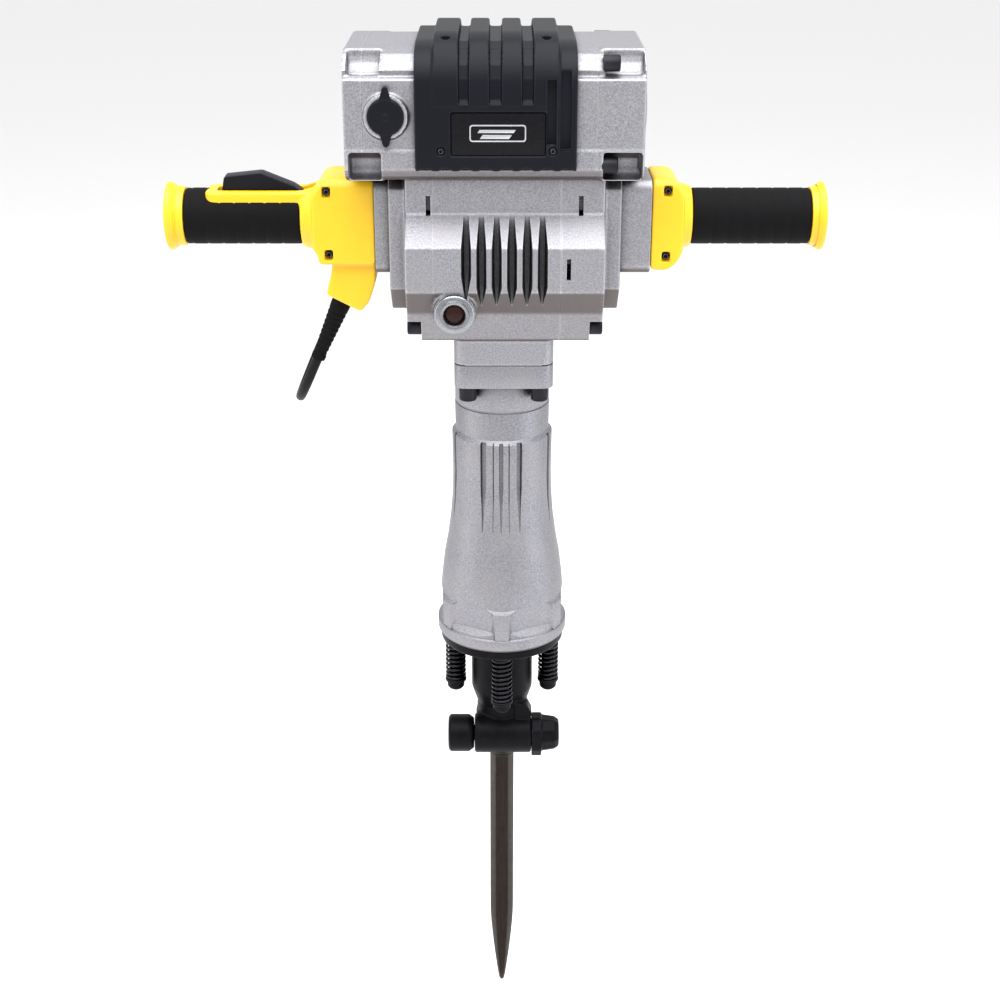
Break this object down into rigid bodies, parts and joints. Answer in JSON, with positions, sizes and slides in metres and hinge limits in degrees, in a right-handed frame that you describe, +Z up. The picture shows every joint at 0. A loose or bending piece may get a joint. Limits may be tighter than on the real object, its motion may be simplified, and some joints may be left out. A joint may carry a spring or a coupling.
{
  "type": "electric jackhammer",
  "caption": "Upright electric breaker: cast motor head with ribbed cover, crankcase, long hammer case, side handles with trigger, sprung tool holder and chisel.",
  "frame": {"origin": "the chisel's point, on the tool axis", "axes": "+Z up along the tool axis, -Y the front, the side with the oil gauge and the badge, +X towards the handle without a trigger"},
  "size_m": [0.63, 0.22, 1.073],
  "materials": {
    "cast_aluminium": "as-cast, fine grain, satin",
    "yellow_plastic": "moulded, satin",
    "black_plastic": "moulded, fine texture",
    "black_rubber": "matt",
    "black_steel": "black oxide",
    "tool_steel": "forged, dark brown oxide",
    "machined_steel": "ground",
    "copper_winding": "enamelled",
    "sight_glass": "oil behind a clear lens",
    "badge": "gloss"
  },
  "bodies": {
    "body": {"armature_bearing_left": "machined_steel", "armature_bearing_right": "machined_steel", "badge_plate": "badge", "brush_cap_front": "black_plastic", "brush_cap_rear": "black_plastic", "carbon_brush_front": "black_steel", "carbon_brush_rear": "black_steel", "cord_coil": "black_rubber", "cord_run": "black_rubber", "cord_strap": "black_rubber", "cord_tail": "black_rubber", "crank_bearing_left": "machined_steel", "crank_bearing_right": "machined_steel", "crankcase": "cast_aluminium", "crankcase_left_cover": "cast_aluminium", "cushion_spring_1": "machined_steel", "cushion_spring_2": "machined_steel", "cushion_spring_3": "machined_steel", "cushion_spring_4": "machined_steel", "cylinder": "machined_steel", "damper_ring": "black_rubber", "field_coil": "copper_winding", "gear_cover": "cast_aluminium", "hammer_case": "cast_aluminium", "left_end_cover": "cast_aluminium", "left_end_flange": "yellow_plastic", "left_grip": "black_rubber", "left_handle_bracket": "cast_aluminium", "left_handle_front_shell": "yellow_plastic", "left_handle_rear_shell": "yellow_plastic", "motor_cover": "black_plastic", "motor_housing": "cast_aluminium", "oil_gauge_glass": "sight_glass", "oil_gauge_ring": "machined_steel", "plug": "black_rubber", "right_end_cover": "cast_aluminium", "right_end_flange": "yellow_plastic", "right_grip": "black_rubber", "right_handle": "yellow_plastic", "right_handle_bracket": "cast_aluminium", "spring_bolt_1": "black_steel", "spring_bolt_2": "black_steel", "spring_bolt_3": "black_steel", "spring_bolt_4": "black_steel", "strain_relief": "black_rubber", "switch_box": "black_plastic"},
    "trigger": {"trigger": "black_plastic"},
    "front_cover": {"front_cover": "black_steel"},
    "stopper": {"stopper_shaft": "black_steel", "stopper_lever": "black_steel"},
    "chisel": {"chisel": "tool_steel"},
    "impact_bolt": {"impact_bolt": "machined_steel"},
    "striker": {"striker": "machined_steel"},
    "piston": {"piston": "machined_steel"},
    "crank": {"crankshaft": "machined_steel", "crank_gear": "machined_steel"},
    "rod": {"connecting_rod": "machined_steel"},
    "idler": {"idler_gear": "machined_steel"},
    "armature": {"armature": "copper_winding", "cooling_fan": "black_plastic"}
  },
  "joints": [
    {"name": "trigger_press", "type": "hinge", "parent": "body", "child": "trigger", "pos_m": [-0.192, 0, 0.918], "axis": [0, -1, 0], "range_deg": [0, 6], "stiffness_Nm_per_rad": 3, "springref_deg": -8.59},
    {"name": "front_cover_slide", "type": "slide", "parent": "body", "child": "front_cover", "axis": [0, 0, -1], "range_m": [0, 0.006], "stiffness_N_per_m": 40000, "springref_m": -0.005, "deforming": ["cushion_spring_1", "cushion_spring_2", "cushion_spring_3", "cushion_spring_4"]},
    {"name": "stopper_turn", "type": "hinge", "parent": "front_cover", "child": "stopper", "pos_m": [0, -0.02, 0.34], "axis": [1, 0, 0], "range_deg": [0, 180]},
    {"name": "chisel_slide", "type": "slide", "parent": "front_cover", "child": "chisel", "axis": [0, 0, 1], "range_m": [0, 0.014]},
    {"name": "impact_bolt_slide", "type": "slide", "parent": "front_cover", "child": "impact_bolt", "axis": [0, 0, 1], "range_m": [0, 0.014]},
    {"name": "striker_slide", "type": "slide", "parent": "body", "child": "striker", "axis": [0, 0, 1], "range_m": [0, 0.022]},
    {"name": "piston_slide", "type": "slide", "parent": "body", "child": "piston", "axis": [0, 0, 1], "range_m": [0, 0.032]},
    {"name": "crank_spin", "type": "hinge", "parent": "body", "child": "crank", "pos_m": [0, 0, 0.8685], "axis": [1, 0, 0], "continuous": true},
    {"name": "rod_turn", "type": "hinge", "parent": "crank", "child": "rod", "pos_m": [0, 0, 0.8525], "axis": [1, 0, 0], "continuous": true},
    {"name": "idler_spin", "type": "hinge", "parent": "body", "child": "idler", "pos_m": [0, 0, 0.954], "axis": [1, 0, 0], "continuous": true},
    {"name": "armature_spin", "type": "hinge", "parent": "body", "child": "armature", "pos_m": [0, 0, 1.006], "axis": [1, 0, 0], "continuous": true}
  ],
  "couplings": [
    {"joint": "impact_bolt_slide", "follows": "chisel_slide", "ratio": 1},
    {"joint": "rod_turn", "follows": "crank_spin", "ratio": -1},
    {"joint": "idler_spin", "follows": "crank_spin", "ratio": -3.0714},
    {"joint": "armature_spin", "follows": "crank_spin", "ratio": 8.3367}
  ]
}
